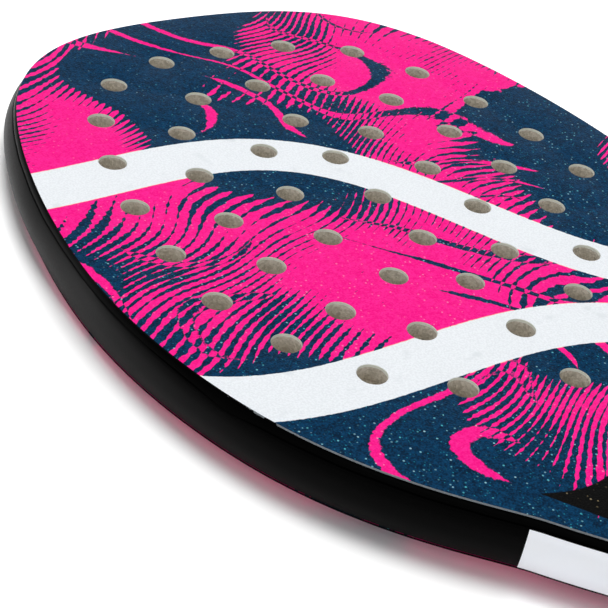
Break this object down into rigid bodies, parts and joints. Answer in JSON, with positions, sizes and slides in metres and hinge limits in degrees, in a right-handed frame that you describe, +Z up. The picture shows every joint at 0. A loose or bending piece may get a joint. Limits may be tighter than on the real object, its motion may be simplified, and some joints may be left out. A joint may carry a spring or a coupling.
{
  "type": "beach tennis racket",
  "caption": "Solid-faced beach racket: drilled foam-cored head in a hollow composite frame, guarded rim, wound octagonal grip and flared butt cap with a cord hole.",
  "frame": {"origin": "under the middle of the racket's bounding box, level with the lowest flat of the butt cap", "axes": "+X across the face to the racket's right, +Y from the butt towards the tip, +Z up through the thickness, out of the front face"},
  "size_m": [0.2434, 0.5, 0.0352],
  "materials": {
    "eva_foam": "matte",
    "printed_laminate": "satin",
    "black_composite": "gloss",
    "guard_film": "satin",
    "label_film": "satin",
    "moulded_foam": "matte",
    "cushion_tape": "matte",
    "finish_tape": "satin",
    "collar_rubber": "matte",
    "cap_plastic": "satin",
    "staple_steel": "satin"
  },
  "bodies": {
    "root": {"foam_core": "eva_foam", "front_face": "printed_laminate", "back_face": "printed_laminate", "frame_tube": "black_composite", "throat_bridge": "black_composite", "throat_foam": "eva_foam", "edge_guard": "guard_film", "side_label": "label_film", "front_pallet": "moulded_foam", "back_pallet": "moulded_foam", "grip_tape": "cushion_tape", "finishing_tape": "finish_tape", "grip_collar": "collar_rubber", "butt_cap": "cap_plastic", "front_staple": "staple_steel", "back_staple": "staple_steel"}
  },
  "joints": []
}
